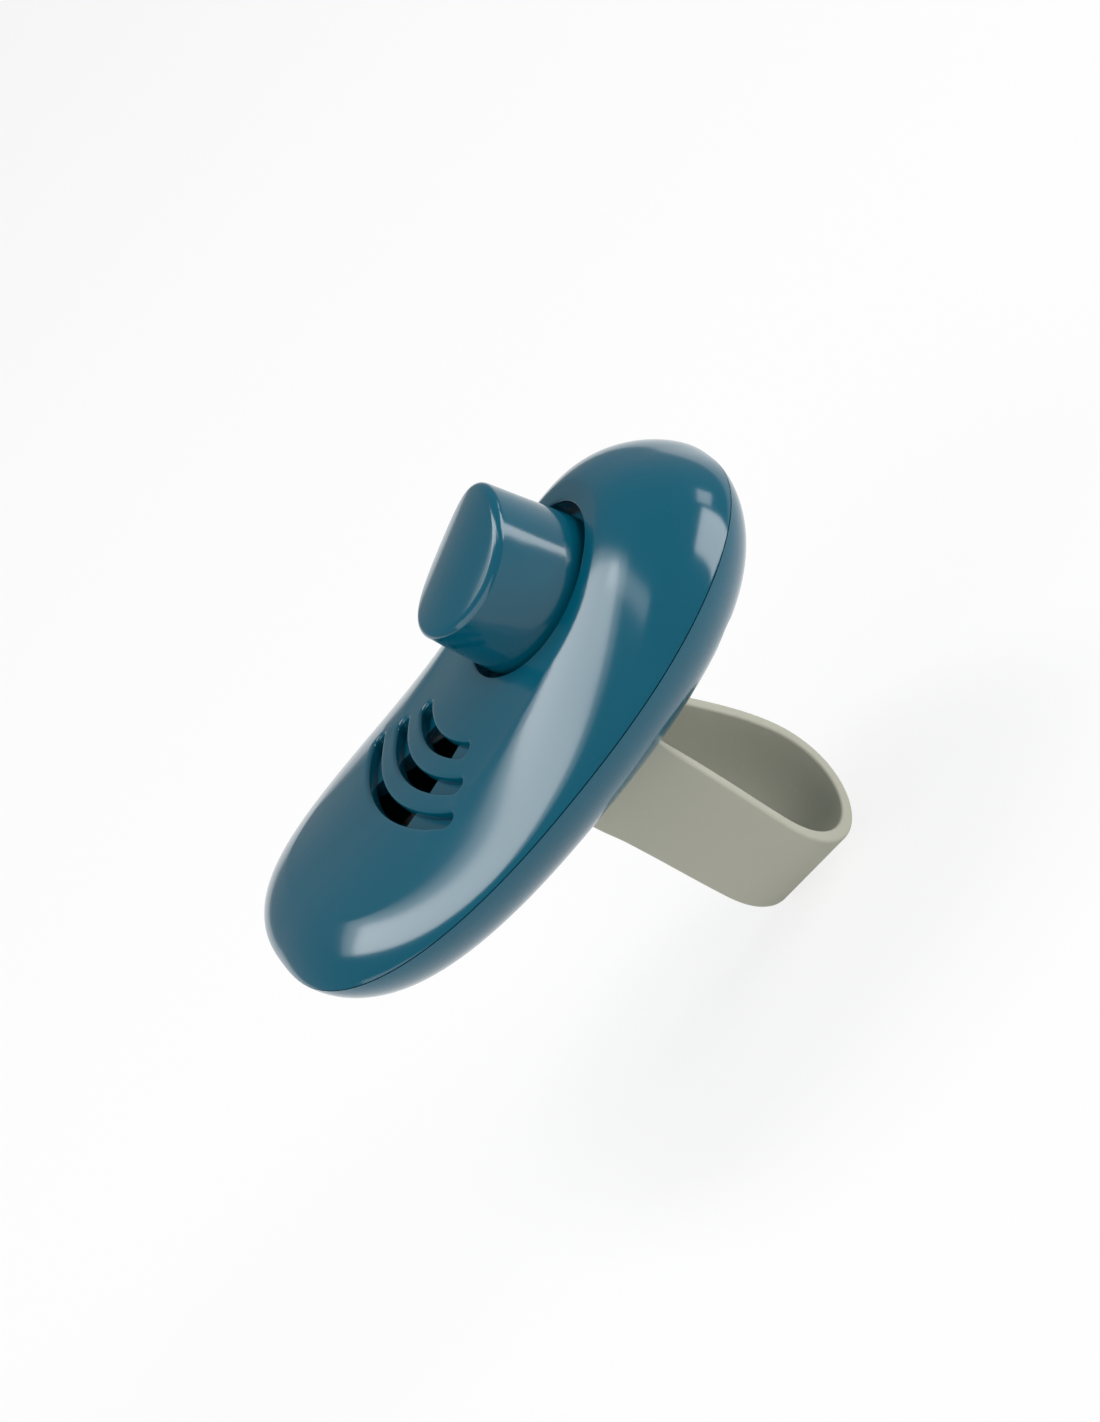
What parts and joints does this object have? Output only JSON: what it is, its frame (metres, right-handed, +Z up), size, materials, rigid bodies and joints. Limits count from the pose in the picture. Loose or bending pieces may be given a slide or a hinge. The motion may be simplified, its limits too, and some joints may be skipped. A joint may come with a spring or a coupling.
{
  "type": "finger strap sound clicker",
  "caption": "Pebble-shaped push-button sound clicker with arc sound slots on top and a soft finger loop hanging from its belly.",
  "frame": {"origin": "middle of the flat land on the belly, between the two ends of the finger strap", "axes": "+X along the body towards the end with the button, +Y across the body, +Z up through the button; the strap hangs towards -Z"},
  "size_m": [0.066, 0.0464, 0.0566],
  "materials": {
    "teal_plastic": "high gloss teal blue moulding",
    "grey_rubber": "matt warm grey soft rubber",
    "spring_steel": "bright rolled spring steel",
    "zinc_steel": "zinc plated steel"
  },
  "bodies": {
    "case": {"top_shell": "teal_plastic", "bottom_shell": "teal_plastic", "button_pivot_pin": "zinc_steel", "click_plate": "spring_steel", "plate_clamp": "zinc_steel", "strap": "grey_rubber", "strap_retainer": "zinc_steel", "shell_screw_nose_left": "zinc_steel", "shell_screw_nose_right": "zinc_steel", "shell_screw_tail_left": "zinc_steel", "shell_screw_tail_right": "zinc_steel", "clamp_screw_left": "zinc_steel", "clamp_screw_right": "zinc_steel", "retainer_screw_left": "zinc_steel", "retainer_screw_right": "zinc_steel"},
    "button": {"button": "teal_plastic"}
  },
  "joints": [
    {"name": "button_press", "type": "hinge", "parent": "case", "child": "button", "pos_m": [-0.0049, 0, 0.0085], "axis": [0, 1, 0], "range_deg": [0, 5], "stiffness_Nm_per_rad": 0.6, "deforming": ["click_plate"]}
  ]
}
